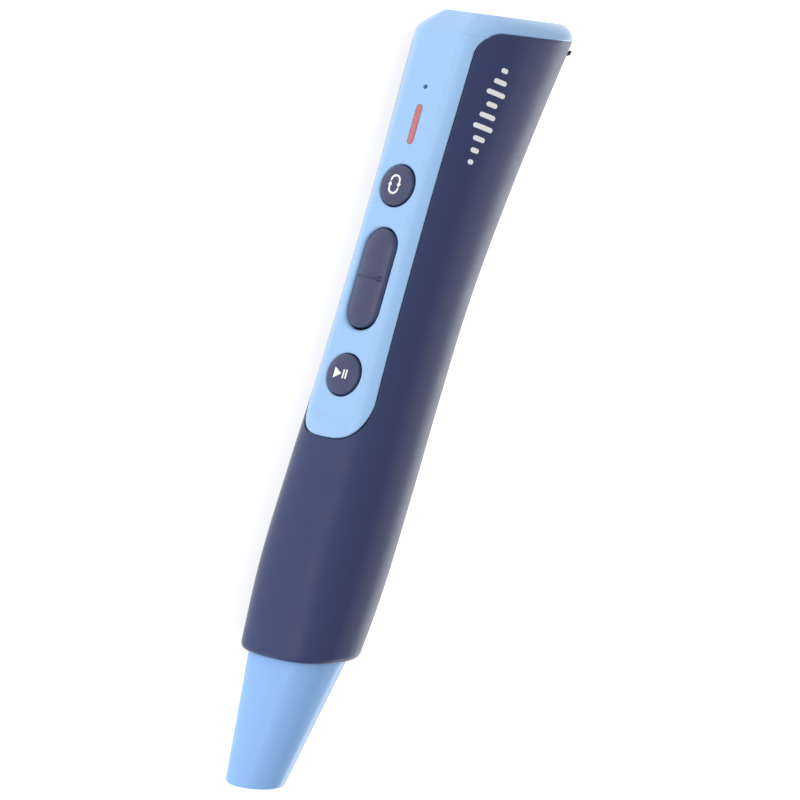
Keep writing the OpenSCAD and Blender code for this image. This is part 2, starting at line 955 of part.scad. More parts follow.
body_shell();
front_cover();
nose_cone();
nose_gasket();
tip_window();
light_shroud();
camera_lens();
camera_module();
infrared_lamps();
sensor_board();
camera_holder();
holder_screws();
sensor_cable();
main_board();
processor();
memory_chip();
crystal();
board_capacitors();
board_screws();
repeat_button();
repeat_icon();
repeat_plunger();
repeat_switch();
play_button();
play_icon();
play_plunger();
play_switch();
volume_rocker();
rocker_pin();
rocker_bracket();
volume_switches();
light_bar();
status_lamp();
microphone();
microphone_boot();
battery();
battery_pad();
battery_plug();
battery_leads();
speaker_basket();
speaker_cone();
speaker_magnet();
speaker_gasket();
speaker_clamp();
speaker_leads();
usb_socket();
usb_tongue();
headphone_socket();
port_board();
port_flap();
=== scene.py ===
# Looks of a talking reading pen that lies on its side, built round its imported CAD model.
# Shapes are worked out in the pen's own frame, in millimetres: z runs from the tip to the head,
# -y is the front with the keys, and x is across. in_row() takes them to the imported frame, in metres.

import json
import math

import bmesh
import bpy
import numpy as np
from mathutils import Matrix, Vector


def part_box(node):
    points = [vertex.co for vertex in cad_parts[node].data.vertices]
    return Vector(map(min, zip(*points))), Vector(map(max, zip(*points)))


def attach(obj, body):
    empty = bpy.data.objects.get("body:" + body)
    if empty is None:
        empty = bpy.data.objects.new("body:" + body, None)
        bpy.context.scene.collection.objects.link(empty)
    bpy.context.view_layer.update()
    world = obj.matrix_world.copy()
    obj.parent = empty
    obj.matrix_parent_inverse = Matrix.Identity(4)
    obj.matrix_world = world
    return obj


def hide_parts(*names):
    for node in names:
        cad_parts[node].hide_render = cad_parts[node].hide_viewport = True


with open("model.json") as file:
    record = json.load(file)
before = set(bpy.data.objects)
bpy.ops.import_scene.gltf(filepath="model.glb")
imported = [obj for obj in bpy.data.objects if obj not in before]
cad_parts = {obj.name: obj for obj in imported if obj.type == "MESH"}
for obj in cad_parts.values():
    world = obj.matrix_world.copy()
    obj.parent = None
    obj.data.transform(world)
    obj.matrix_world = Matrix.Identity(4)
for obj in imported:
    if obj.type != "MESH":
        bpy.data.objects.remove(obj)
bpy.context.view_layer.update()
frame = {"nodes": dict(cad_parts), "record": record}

# ---- driving dimensions, as in the CAD model ----

SEAM_S, TOP_S = 29.8, 161.2          # heights of the casing's ends on the pen's axis
SEAM_SLOPE, TOP_SLOPE = 0.3, 0.233   # slants of those ends
SEAM_R = 1.3                         # rounding of the lower end
TOP_R, TOP_BEVEL = 3.2, 4.6          # rounding of the top, at the back and at the front
EDGE_POWER, FRONT_POWER = 4 / 3, 0.45  # 1 would be an arc; the second is added at the front
WALL = 1.5
FACET_Y, FACET_END, FACET_RAMP, FACET_RISE = 11.0, 76.5, 5.0, 1.6
SQUARENESS = 2.5
SPLIT_Y = -9.0                       # parting line of the cover along the pen
PANEL_END = 70.8                     # lower end of the cover
PANEL_CORNER = (3.2, 9.0)
CORNER_POWER = 1.5                   # 2 would be an ellipse
BAND_Z = TOP_S - 3.4                 # lower edge of the band round the head
BAND_R = 6.0
GAP = 0.04                           # between cover and casing
LIP = 0.3                            # rounding of the cover's edge
TIP_S, TIP_R, TIP_Y = 3.6, 5.65, -3.2
NOSE_W, NOSE_B, NOSE_SHIFT, NOSE_SLOPE = 9.4, 8.3, 1.95, 0.287
NOSE_WALL = 1.3
BUTTON_R, BUTTON_GAP, FLANGE = 4.1, 0.25, 0.7
PROUD = 0.8                          # how far the keys stand out of the facet
ROCKER_L, ROCKER_W = 20.2, 8.0
PLAY_Z, ROCKER_Z, REPEAT_Z = 83.8, 103.5, 122.4
LIGHT_Z, LIGHT_L, LIGHT_W, LIGHT_PROUD = 135.0, 8.1, 1.5, 0.06
MIC_Z, MIC_R = 142.7, 0.5
SPEAKER_Z, SPEAKER_R = 130.5, 7.0
SLOT_R, SLOT_PITCH, SLOT_ROWS = 0.55, 2.1, 3
POCKET_X, POCKET_LOW, POCKET_HIGH, POCKET_DEPTH = 6.1, 144.2, 160.75, 1.1
FLAP_X, FLAP_LOW, FLAP_HIGH, FLAP_T = 5.9, 146.5, 160.5, 0.9
FLAP_PIN_Z, FLAP_PIN_R, FLAP_PIN_X = 145.2, 0.4, 3.0
FLAP_PIN_DEPTH = 0.62
LIP_LOW, LIP_HIGH, LIP_X = 159.6, 160.5, 8.7
LIP_GAP, LIP_RISE, LIP_FLARE = 0.12, 0.55, 0.8
USB_Z, USB_HALF, USB_R = 149.6, 2.85, 1.75
JACK_Z, JACK_R = 155.7, 3.1

# Casing stations up the pen: height, front depth, back depth, half width
STATIONS = np.array([
    [8, 9.6, 6.6, 10.4], [26, 10.9, 8.3, 11.1], [45, 12.3, 10.4, 11.8], [65, 12.05, 11.3, 11.65],
    [85, 11.8, 12.3, 10.95], [105, 11.8, 13.4, 10.65], [125, 11.8, 15.8, 10.9],
    [145, 11.8, 18.7, 11.75], [166, 11.8, 22.5, 12.6], [187, 11.8, 26.5, 13.3],
])
FRONT, BACK, WIDTH = 1, 2, 3

EDGE_U = TOP_BEVEL * math.pi / 2     # how much of u goes round the edge of the top
FAR_OFF = 9.0                        # a distance that is beyond any cut

# The rocker ties the pen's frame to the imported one: its middle is at ROCKER_Z and x = 0
rocker_low, rocker_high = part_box("volume_rocker")
ORIGIN = np.array([
    (rocker_low.x + rocker_high.x) * 500 + ROCKER_Z,
    rocker_low.y * 1000 + FACET_Y + PROUD,
    (rocker_low.z + rocker_high.z) * 500,
])


def in_row(points):
    """Points of the pen's frame, in millimetres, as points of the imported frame, in metres."""
    p = np.atleast_2d(points)
    return (ORIGIN + np.stack([-p[:, 2], p[:, 1], p[:, 0]], 1)) / 1000


def turned(directions):
    p = np.atleast_2d(directions)
    return np.stack([-p[:, 2], p[:, 1], p[:, 0]], 1)


# ---- the casing's surface ----


def smooth_step(t):
    t = np.clip(t, 0, 1)
    return t * t * (3 - 2 * t)


def profile(z, column):
    """A smooth curve through the stations."""
    heights, values = STATIONS[:, 0], STATIONS[:, column]
    i = np.clip(np.searchsorted(heights, z, "right") - 1, 1, len(heights) - 3)
    step = heights[i + 1] - heights[i]
    t = (z - heights[i]) / step
    m0 = (values[i + 1] - values[i - 1]) / (heights[i + 1] - heights[i - 1]) * step
    m1 = (values[i + 2] - values[i]) / (heights[i + 2] - heights[i]) * step
    return ((2 * t**3 - 3 * t**2 + 1) * values[i] + (t**3 - 2 * t**2 + t) * m0
            + (3 * t**2 - 2 * t**3) * values[i + 1] + (t**3 - t**2) * m1)


def superellipse(angle, a, b, n):
    c, s = np.cos(angle), np.sin(angle)
    return a * np.sign(c) * np.abs(c) ** (2 / n), b * np.sign(s) * np.abs(s) ** (2 / n)


def section(z, angle, inset, soften=0.25):
    """A casing section at height z; its front is flattened with a slightly soft edge."""
    front, back = profile(z, FRONT), profile(z, BACK)
    x, y = superellipse(angle, profile(z, WIDTH) - inset, (front + back) / 2 - inset, SQUARENESS)
    y = y + (back - front) / 2
    flat = -(FACET_Y + FACET_RISE * smooth_step((FACET_END - z) / FACET_RAMP) - inset)
    near = np.clip(1 - np.abs(y - flat) / soften, 0, 1)
    return x, np.maximum(y, flat) + near**2 * soften / 4


def casing_point(u, angle, depth):
    """A point of the casing: u is the height of its ring, and goes on round the edge of the top,
    which is more of a bevel at the front."""
    frontness = (1 - np.sin(angle)) / 2
    r = TOP_R + (TOP_BEVEL - TOP_R) * frontness
    power = EDGE_POWER + FRONT_POWER * frontness**2
    straight = TOP_BEVEL - r
    way = np.clip((u - TOP_S + TOP_BEVEL) / EDGE_U, 0, 1) * (straight + r * math.pi / 2)
    turn = np.clip((way - straight) / r, 0, math.pi / 2)
    cap = np.clip(u - TOP_S + TOP_BEVEL - EDGE_U, 0, 1)
    s = np.minimum(u, TOP_S - TOP_BEVEL) + np.minimum(way, straight) + (r - depth) * np.sin(turn) ** power
    inset = np.where(turn > 0, r - (r - depth) * np.clip(np.cos(turn), 0, 1) ** power, depth)
    low = np.arccos(np.clip((u - SEAM_S) / SEAM_R, 0, 1))
    at_seam = u < SEAM_S + SEAM_R
    inset = np.where(at_seam, SEAM_R - (SEAM_R - depth) * np.cos(low), inset)
    s = np.where(at_seam, SEAM_S + SEAM_R - (SEAM_R - depth) * np.sin(low), s)
    slope = SEAM_SLOPE + (TOP_SLOPE - SEAM_SLOPE) * (s - SEAM_S) / (TOP_S - SEAM_S)
    z = s + slope * section(s, angle, inset)[1]
    x, y = section(z, angle, inset)
    middle = (profile(s, BACK) - profile(s, FRONT)) / 2
    x, y = x * (1 - cap), middle + (y - middle) * (1 - cap)
    return np.stack([x, y, s + slope * y], -1)


def rounded_box(a, b, half_a, half_b, radius):
    """Signed distance to a rounded rectangle, positive outside."""
    qa, qb = np.abs(a) - half_a + radius, np.abs(b) - half_b + radius
    outside = np.hypot(np.maximum(qa, 0), np.maximum(qb, 0))
    return outside + np.minimum(np.maximum(qa, qb), 0) - radius


def stadium(a, b, length, width):
    """Signed distance to a slot that runs along b, positive outside."""
    along = np.maximum(np.abs(b) - (length - width) / 2, 0)
    return np.hypot(a, along) - width / 2


def cover_side(p):
    """Signed distance in the side view to the cover's outline, positive inside the cover."""
    y, z = p[:, 1], p[:, 2]
    ry, rz = PANEL_CORNER
    panel = np.minimum(SPLIT_Y - y, z - PANEL_END)

    cy, cz = (y - SPLIT_Y + ry) / ry, (PANEL_END + rz - z) / rz
    in_corner = (cy > 0) & (cz > 0)
    cy, cz = np.maximum(cy, 1e-6), np.maximum(cz, 1e-6)
    e = (cy**CORNER_POWER + cz**CORNER_POWER) ** (1 / CORNER_POWER)
    steep = np.hypot((cy / e) ** (CORNER_POWER - 1) / ry, (cz / e) ** (CORNER_POWER - 1) / rz)
    panel = np.where(in_corner, (1 - e) / steep, panel)

    tilt = math.atan(TOP_SLOPE)
    band = (z - BAND_Z - TOP_SLOPE * y) * math.cos(tilt)
    c = math.sin(tilt)
    u1, u2 = BAND_R + SPLIT_Y - y, BAND_R + band
    fillet = np.sqrt(np.maximum(u1**2 + u2**2 - 2 * u1 * u2 * c, 0) / (1 - c * c)) - BAND_R
    in_fillet = (u1 > c * u2) & (u2 > c * u1)
    return np.where(in_fillet & (z > PANEL_END + rz), fillet, np.maximum(panel, band))


def front_only(p, distance):
    return np.where(p[:, 1] < -5, distance, FAR_OFF)


def back_only(p, distance):
    return np.where(p[:, 1] > 4, distance, FAR_OFF)


def speaker_slots(p):
    """Signed distance to the nearest slot of the speaker grille, positive outside."""
    lean = math.atan((profile(SPEAKER_Z + 6, BACK) - profile(SPEAKER_Z - 6, BACK)) / 12)
    up = (p[:, 2] - SPEAKER_Z) * math.cos(lean)
    up += (p[:, 1] - profile(SPEAKER_Z, BACK)) * math.sin(lean)
    found = np.full(len(p), FAR_OFF)
    for row in range(-SLOT_ROWS, SLOT_ROWS + 1):
        half = math.sqrt((SPEAKER_R - 0.6) ** 2 - (row * SLOT_PITCH) ** 2 * 0.8)
        found = np.minimum(found, stadium(up - row * SLOT_PITCH, p[:, 0], 2 * half, 2 * SLOT_R))
    return back_only(p, found)


def port_pocket(p):
    middle, half = (POCKET_LOW + POCKET_HIGH) / 2, (POCKET_HIGH - POCKET_LOW) / 2
    return back_only(p, rounded_box(p[:, 0], p[:, 2] - middle, POCKET_X, half, 0.9))


# ---- sheets: grids on a surface, cut along outlines and given thickness with soft lips ----


class Sheet:
    """Faces on a surface. Each vertex is a pair of surface coordinates."""

    def __init__(self, surface, us, vs):
        self.surface = surface
        u, v = np.meshgrid(us, vs, indexing="ij")
        self.uv = np.stack([u.ravel(), v.ravel()], 1)
        i, j = np.meshgrid(range(len(us) - 1), range(len(vs) - 1), indexing="ij")
        a = (i * len(vs) + j).ravel()
        self.faces = [tuple(f) for f in np.stack([a, a + 1, a + len(vs) + 1, a + len(vs)], 1).tolist()]

    def points(self, uv=None, depth=0.0):
        uv = self.uv if uv is None else uv
        return self.surface(uv[:, 0], uv[:, 1], depth)

    def normals(self, uv):
        """Unit normals, and how the surface's points move per unit of u and of v."""
        du, dv = np.array([0.01, 0]), np.array([0, 1e-3])
        pu = (self.points(uv + du) - self.points(uv - du)) / 0.02
        pv = (self.points(uv + dv) - self.points(uv - dv)) / 2e-3
        n = np.cross(pv, pu)
        return n / (np.linalg.norm(n, axis=1)[:, None] + 1e-12), pu, pv

    def cut(self, outline, edge=0.0, snap=0.1):
        """Keeps what lies where outline is above edge."""
        value = outline(self.points()) - edge
        near = np.abs(value) < snap
        for _ in range(3):
            uv = self.uv[near]
            _, pu, pv = self.normals(uv)
            su, sv = np.linalg.norm(pu, axis=1) + 1e-6, np.linalg.norm(pv, axis=1) + 1e-6
            step = 1e-3
            here = outline(self.points(uv)) - edge
            gu = (outline(self.points(uv + np.stack([step / su, 0 * su], 1))) - edge - here) / step
            gv = (outline(self.points(uv + np.stack([0 * sv, step / sv], 1))) - edge - here) / step
            move = -here / np.maximum(gu**2 + gv**2, 0.05)
            shift = np.clip(np.stack([move * gu, move * gv], 1), -snap, snap)
            self.uv[near] += shift / np.stack([su, sv], 1)
        value = outline(self.points()) - edge
        value[near & (np.abs(value) < 1e-3)] = 0
        side = np.sign(value)
        kept, cross, edges = [], [], {}
        for f in self.faces:
            signs = [side[i] for i in f]
            if min(signs) >= 0:
                if max(signs) > 0:
                    kept.append(f)
            elif max(signs) > 0:
                cross.append(f)
                for a, b in zip(f, f[1:] + f[:1]):
                    if side[a] * side[b] < 0:
                        edges.setdefault((min(a, b), max(a, b)), len(self.uv) + len(edges))
        if edges:
            ends = np.array(list(edges))
            low, high = self.uv[ends[:, 0]].copy(), self.uv[ends[:, 1]].copy()
            sign = side[ends[:, 0]][:, None]
            for _ in range(12):
                middle = (low + high) / 2
                same = (np.sign(outline(self.points(middle)) - edge)[:, None] == sign)
                low, high = np.where(same, middle, low), np.where(same, high, middle)
            self.uv = np.concatenate([self.uv, (low + high) / 2])
        for f in cross:
            poly = []
            for a, b in zip(f, f[1:] + f[:1]):
                if side[a] >= 0:
                    poly.append(a)
                if side[a] * side[b] < 0:
                    poly.append(edges[(min(a, b), max(a, b))])
            if len(poly) > 2:
                kept.append(tuple(poly))
        self.faces = kept

    def weld(self):
        """Drops unused vertices and joins those at one place."""
        used = sorted({i for f in self.faces for i in f})
        where = self.points(self.uv[used])
        seen, joined, keep = {}, {}, []
        for i, p in zip(used, np.round(where, 4).tolist()):
            key = tuple(p)
            if key not in seen:
                seen[key] = len(keep)
                keep.append(i)
            joined[i] = seen[key]
        faces = []
        for f in self.faces:
            g = [joined[i] for i in f]
            g = [a for k, a in enumerate(g) if a != g[k - 1]]
            if len(set(g)) > 2:
                faces.append(tuple(g))
        self.uv, self.faces = self.uv[keep], faces


def shell(sheet, wall, lips):
    """Gives a sheet thickness. Each of lips is (outline, edge): that outline's rim is rounded so far,
    and a third item may make the rounding wider in places. Returns points, faces and normals."""
    segments, reach, foot = 4, 0.05, 0.02
    sheet.weld()
    top = sheet.points()
    normal = sheet.normals(sheet.uv)[0]
    count = len(top)
    inner = sheet.points(depth=wall)
    faces = list(sheet.faces) + [tuple(count + i for i in reversed(f)) for f in sheet.faces]
    borders = {}
    for f in sheet.faces:
        for a, b in zip(f, f[1:] + f[:1]):
            borders[(a, b)] = borders.get((a, b), 0) + 1
    rim = [(a, b) for a, b in borders if (b, a) not in borders]
    out = np.zeros((count, 3))
    for a, b in rim:
        way = np.cross(top[b] - top[a], normal[a])
        out[a] += way
        out[b] += way
    ids = sorted({i for e in rim for i in e})
    spot = {i: k for k, i in enumerate(ids)}
    p, n, o = top[ids], normal[ids], out[ids]
    o -= (o * n).sum(1)[:, None] * n
    o /= np.linalg.norm(o, axis=1)[:, None] + 1e-12
    radius = np.zeros(len(ids))
    best = np.full(len(ids), reach)
    for outline, edge, *grow in lips:
        miss = np.abs(outline(p) - edge)
        radius = np.where(miss < best, edge * grow[0](p) if grow else edge, radius)
        best = np.minimum(best, miss)
    r = radius[:, None]
    points, normals = [top, inner], [normal, -normal]
    first = 2 * count
    chain = [ids]
    for k in range(1, segments + 1):
        a = math.pi / 2 * k / segments
        points.append(p + o * r * math.sin(a) - n * r * (1 - math.cos(a)))
        normals.append(n * math.cos(a) + o * math.sin(a))
        chain.append(list(range(first, first + len(ids))))
        first += len(ids)
    points.append(p + o * r - n * (wall - foot))
    normals.append(o)
    chain.append(list(range(first, first + len(ids))))
    chain.append([count + i for i in ids])
    for upper, lower in zip(chain, chain[1:]):
        for a, b in rim:
            a, b = spot[a], spot[b]
            faces.append((upper[b], upper[a], lower[a], lower[b]))
    return np.concatenate(points), faces, np.concatenate(normals)


def joined(*parts):
    """Several (points, faces, normals) as one."""
    points, faces, normals, first = [], [], [], 0
    for p, f, n in parts:
        points.append(p)
        normals.append(n)
        faces += [tuple(i + first for i in g) for g in f]
        first += len(p)
    return np.concatenate(points), faces, np.concatenate(normals)


def tube_part(rings, closed=True):
    """Rings of points, each going round the same way, as one loop of surfaces."""
    count, size = len(rings), len(rings[0])
    faces = []
    for j in range(count if closed else count - 1):
        k = (j + 1) % count
        for i in range(size):
            m = (i + 1) % size
            faces.append((j * size + i, j * size + m, k * size + m, k * size + i))
    return np.concatenate(rings), faces


def make_piece(name, part, body, nodes=(), material=None, weld=0.0):
    """An object from points, faces and, if given, normals, riding on a body."""
    points, faces = part[:2]
    mesh = bpy.data.meshes.new(name)
    mesh.from_pydata(in_row(points).tolist(), [], faces)
    if weld:
        bm = bmesh.new()
        bm.from_mesh(mesh)
        bmesh.ops.remove_doubles(bm, verts=bm.verts, dist=weld / 1000)
        bmesh.ops.dissolve_degenerate(bm, edges=bm.edges, dist=weld / 1000)
        bmesh.ops.recalc_face_normals(bm, faces=bm.faces)
        bm.to_mesh(mesh)
        bm.free()
    mesh.shade_smooth()
    if len(part) > 2 and not weld:
        mesh.normals_split_custom_set_from_vertices(turned(part[2]).tolist())
    piece = bpy.data.objects.new(name, mesh)
    bpy.context.scene.collection.objects.link(piece)
    if material:
        mesh.materials.append(material)
    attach(piece, body)
    if nodes:
        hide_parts(*nodes)
    return piece


# ---- materials ----


def link(tree, a, out, b, into):
    tree.links.new(a.outputs[out], b.inputs[into])


def new_material(name):
    material = bpy.data.materials.new(name)
    material.use_nodes = True
    tree = material.node_tree
    shader = tree.nodes["Principled BSDF"]
    place = tree.nodes.new("ShaderNodeTexCoord")
    return material, tree, shader, place


def noise(tree, place, size_mm, detail=3.0, stretch=(1, 1, 1)):
    """Noise whose blobs are about size_mm across."""
    mapping = tree.nodes.new("ShaderNodeMapping")
    mapping.inputs["Scale"].default_value = stretch
    link(tree, place, "Object", mapping, "Vector")
    node = tree.nodes.new("ShaderNodeTexNoise")
    node.inputs["Scale"].default_value = 1000 / size_mm
    node.inputs["Detail"].default_value = detail
    link(tree, mapping, "Vector", node, "Vector")
    return node


def mixed_color(tree, factor, low, high):
    mix = tree.nodes.new("ShaderNodeMix")
    mix.data_type = "RGBA"
    mix.inputs[6].default_value = (*low, 1)
    mix.inputs[7].default_value = (*high, 1)
    tree.links.new(factor, mix.inputs[0])
    return mix.outputs[2]


def ranged(tree, value, low, high, from_low=0.3, from_high=0.7):
    node = tree.nodes.new("ShaderNodeMapRange")
    node.inputs["From Min"].default_value = from_low
    node.inputs["From Max"].default_value = from_high
    node.inputs["To Min"].default_value = low
    node.inputs["To Max"].default_value = high
    tree.links.new(value, node.inputs["Value"])
    return node.outputs["Result"]


def bumped(tree, shader, height, distance_mm):
    bump = tree.nodes.new("ShaderNodeBump")
    bump.inputs["Distance"].default_value = distance_mm / 1000
    bump.inputs["Strength"].default_value = 1.0
    tree.links.new(height, bump.inputs["Height"])
    link(tree, bump, "Normal", shader, "Normal")


def moulded(name, color, roughness, tint=0.06, tint_size=14, grain=0.18, grain_height=0.004,
            stretch=(1, 1, 1), **settings):
    """A moulded or coated surface: slow colour drift, uneven gloss, and a fine grain.
    Names in settings are the shader's sockets, with _ for each space."""
    material, tree, shader, place = new_material(name)
    drift = noise(tree, place, tint_size)
    low, high = [c * (1 - tint) for c in color], [c * (1 + tint) for c in color]
    tree.links.new(mixed_color(tree, drift.outputs["Fac"], low, high), shader.inputs["Base Color"])
    smudge = noise(tree, place, tint_size / 3, 5)
    gloss = ranged(tree, smudge.outputs["Fac"], roughness * 0.85, roughness * 1.15, 0.1, 0.9)
    tree.links.new(gloss, shader.inputs["Roughness"])
    fine = noise(tree, place, grain, 2, stretch)
    bumped(tree, shader, fine.outputs["Fac"], grain_height)
    for socket, value in settings.items():
        shader.inputs[socket.replace("_", " ")].default_value = value
    return material


def circuit_green():
    """Solder mask with the raised lines of copper tracks under it."""
    material, tree, shader, place = new_material("circuit_green")
    tracks = tree.nodes.new("ShaderNodeTexBrick")
    tracks.inputs["Scale"].default_value = 420
    tracks.inputs["Mortar Size"].default_value = 0.03
    tracks.inputs["Color1"].default_value = (0.01, 0.10, 0.04, 1)
    tracks.inputs["Color2"].default_value = (0.015, 0.13, 0.055, 1)
    tracks.inputs["Mortar"].default_value = (0.05, 0.26, 0.11, 1)
    link(tree, place, "Object", tracks, "Vector")
    link(tree, tracks, "Color", shader, "Base Color")
    bumped(tree, shader, tracks.outputs["Fac"], 0.02)
    dust = noise(tree, place, 3)
    tree.links.new(ranged(tree, dust.outputs["Fac"], 0.28, 0.42), shader.inputs["Roughness"])
    return material


def lead_pair(node):
    """Insulation of two leads side by side, one black and one red."""
    material, tree, shader, place = new_material(node + "_insulation")
    low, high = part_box(node)
    split = tree.nodes.new("ShaderNodeSeparateXYZ")
    link(tree, place, "Object", split, "Vector")
    middle = (low.z + high.z) / 2
    red = ranged(tree, split.outputs["Z"], 0, 1, middle - 5e-5, middle + 5e-5)
    tree.links.new(mixed_color(tree, red, (0.012, 0.012, 0.014), (0.45, 0.02, 0.02)),
                   shader.inputs["Base Color"])
    fine = noise(tree, place, 0.3)
    tree.links.new(ranged(tree, fine.outputs["Fac"], 0.35, 0.5), shader.inputs["Roughness"])
    bumped(tree, shader, fine.outputs["Fac"], 0.01)
    return material


NAVY = (0.017, 0.031, 0.122)
SKY = (0.33, 0.555, 0.87)

navy_casing = moulded("navy_soft_touch", NAVY, 0.46, 0.05, 18, 0.16, 0.003,
                       Sheen_Weight=0.5, Sheen_Roughness=0.3)
navy_key = moulded("navy_key", (0.037, 0.046, 0.12), 0.34, 0.05, 5, 0.14, 0.002, Coat_Weight=0.15,
                   Coat_Roughness=0.25)
sky_cover = moulded("sky_gloss", SKY, 0.30, 0.03, 22, 0.7, 0.0012, Coat_Weight=0.25, Coat_Roughness=0.12)
sky_nose = moulded("sky_nose", (0.25, 0.475, 0.86), 0.38, 0.03, 20, 0.7, 0.0012,
                   Coat_Weight=0.08, Coat_Roughness=0.2)
white_print = moulded("white_print", (0.93, 0.93, 0.95), 0.5, 0.03, 2, 0.08, 0.002)
red_light = moulded("red_light_guide", (0.54, 0.165, 0.175), 0.28, 0.1, 2.2, 0.3, 0.002,
                    Subsurface_Weight=0.4, Subsurface_Scale=0.001, Coat_Weight=0.3)
dark_rubber = moulded("dark_rubber", (0.022, 0.023, 0.028), 0.62, 0.15, 4, 0.12, 0.006)
dark_plastic = moulded("dark_plastic", (0.02, 0.02, 0.023), 0.42, 0.15, 5, 0.15, 0.004)
window_glass = moulded("window_glass", (0.10, 0.008, 0.016), 0.08, 0.2, 4, 0.6, 0.0004,
                       Transmission_Weight=0.35, IOR=1.49, Coat_Weight=0.6)
bare_steel = moulded("bare_steel", (0.56, 0.56, 0.57), 0.30, 0.08, 3, 0.12, 0.003,
                     stretch=(1, 9, 1), Metallic=1.0)
cell_foil = moulded("cell_foil", (0.60, 0.61, 0.64), 0.32, 0.06, 6, 2.4, 0.05, Metallic=0.9)
open_foam = moulded("open_foam", (0.018, 0.018, 0.02), 0.9, 0.3, 1, 0.45, 0.09)
flex_gold = moulded("flex_gold", (0.55, 0.24, 0.05), 0.3, 0.12, 1.2, 0.2, 0.004, Metallic=0.5)
white_plastic = moulded("white_plastic", (0.72, 0.72, 0.70), 0.4, 0.05, 3, 0.15, 0.004)
green_board = circuit_green()

SLOT_MATERIALS = {
    "casing_navy": navy_casing, "cover_sky": sky_cover, "key_navy": navy_key,
    "icon_white": white_print, "light_red": red_light, "dark_rubber": dark_rubber,
    "dark_plastic": dark_plastic, "window_glass": window_glass, "board_green": green_board,
    "steel": bare_steel, "cell_foil": cell_foil, "foam": open_foam, "flex_gold": flex_gold,
    "white_plastic": white_plastic,
}


def dress_cad_nodes():
    """Every CAD node gets the material of its slot in the record."""
    slots = {part["node"]: part["material_slot"] for part in frame["record"]["subparts"]}
    for name, node in frame["nodes"].items():
        slot = slots.get(name)
        material = lead_pair(name) if slot == "lead_wire" else SLOT_MATERIALS.get(slot, dark_plastic)
        node.data.materials.clear()
        node.data.materials.append(material)


# ---- casing and cover ----


def heights(*stretches):
    """Ring heights: each stretch is (start, spacing), up to the next one's start."""
    found = []
    for (start, spacing), (end, _) in zip(stretches, stretches[1:]):
        found += list(np.linspace(start, end, max(2, round((end - start) / spacing) + 1))[:-1])
    return found + [stretches[-1][0]]


def casing_rings():
    over = TOP_S - TOP_BEVEL
    edge = over + EDGE_U
    cap = [edge + t for t in (0.04, 0.1, 0.2, 0.35, 0.5, 0.65, 0.8, 0.9, 0.96, 1)]
    low = [SEAM_S + SEAM_R * (1 - math.sin(math.radians(a))) for a in range(90, 0, -10)]
    body = heights((SEAM_S + SEAM_R, 0.9), (66, 0.35), (82, 0.6), (117, 0.35), (over, 1))
    return low + body + list(np.linspace(over, edge, 22)[1:]) + cap


def casing_angles():
    """Angles round the pen, closer together across the front. They start under the pen, at -x."""
    coarse, fine = 2.0, 1.0
    front = np.arange(-130, -50, fine)
    return np.radians(np.concatenate([np.arange(-180, -130, coarse), front,
                                      np.arange(-50, 180 + coarse / 2, coarse)]))


def casing_part():
    lip, pocket_lip, slot_lip = 0.08, 0.25, 0.15
    cuts = [(lambda p: -cover_side(p) - GAP, lip), (port_pocket, pocket_lip), (speaker_slots, slot_lip)]
    sheet = Sheet(casing_point, casing_rings(), casing_angles())
    for outline, edge in cuts:
        sheet.cut(outline, edge)
    return shell(sheet, WALL, cuts)


def port_floor_part():
    """The floor of the port pocket, with the holes in front of the two sockets."""
    margin, thick, hole_lip = 0.3, 0.45, 0.12
    usb = lambda p: back_only(p, stadium(p[:, 2] - USB_Z, p[:, 0], 2 * (USB_HALF + USB_R), 2 * USB_R))
    jack = lambda p: back_only(p, np.hypot(p[:, 0], p[:, 2] - JACK_Z) - JACK_R)
    edge = lambda p: -port_pocket(p) + margin
    surface = lambda u, v, depth: casing_point(u, v, POCKET_DEPTH + depth)
    us = np.arange(POCKET_LOW - 6, POCKET_HIGH, 0.4)
    sheet = Sheet(surface, us, np.radians(np.arange(60, 120.5, 0.75)))
    cuts = [(usb, hole_lip), (jack, hole_lip), (edge, 0.0)]
    for outline, lip in cuts:
        sheet.cut(outline, lip, 0.08)
    return shell(sheet, thick, cuts[:2])


def cover_part():
    """The cover, with holes for the keys, light and microphone. The edge of the rocker's hole is
    dished, more so below it and on its -x side."""
    rocker_gap, hole_lip, key_lip, rocker_lip = 0.3, 0.12, 0.35, 0.45
    low_grow, side_grow = 1.3, 0.5
    dish = lambda p: (1 + low_grow * smooth_step((ROCKER_Z - 6 - p[:, 2]) / 4.5)
                      + side_grow * smooth_step(-p[:, 0] / 3))
    rocker = lambda p: front_only(p, stadium(p[:, 0], p[:, 2] - ROCKER_Z, ROCKER_L + 2 * rocker_gap,
                                             ROCKER_W + 2 * rocker_gap) / dish(p))
    light = lambda p: front_only(p, stadium(p[:, 0], p[:, 2] - LIGHT_Z, LIGHT_L + 0.1, LIGHT_W + 0.1))
    mic = lambda p: front_only(p, np.hypot(p[:, 0], p[:, 2] - MIC_Z) - MIC_R)
    keys = [lambda p, z=z: front_only(p, np.hypot(p[:, 0], p[:, 2] - z) - BUTTON_R - BUTTON_GAP)
            for z in (PLAY_Z, REPEAT_Z)]
    cuts = [(cover_side, LIP), (rocker, rocker_lip, dish), (light, hole_lip), (mic, hole_lip)]
    cuts += [(key, key_lip) for key in keys]
    sheet = Sheet(casing_point, casing_rings(), casing_angles())
    for outline, edge, *_ in cuts:
        sheet.cut(outline, edge)
    return shell(sheet, WALL, cuts)


# ---- nose ----


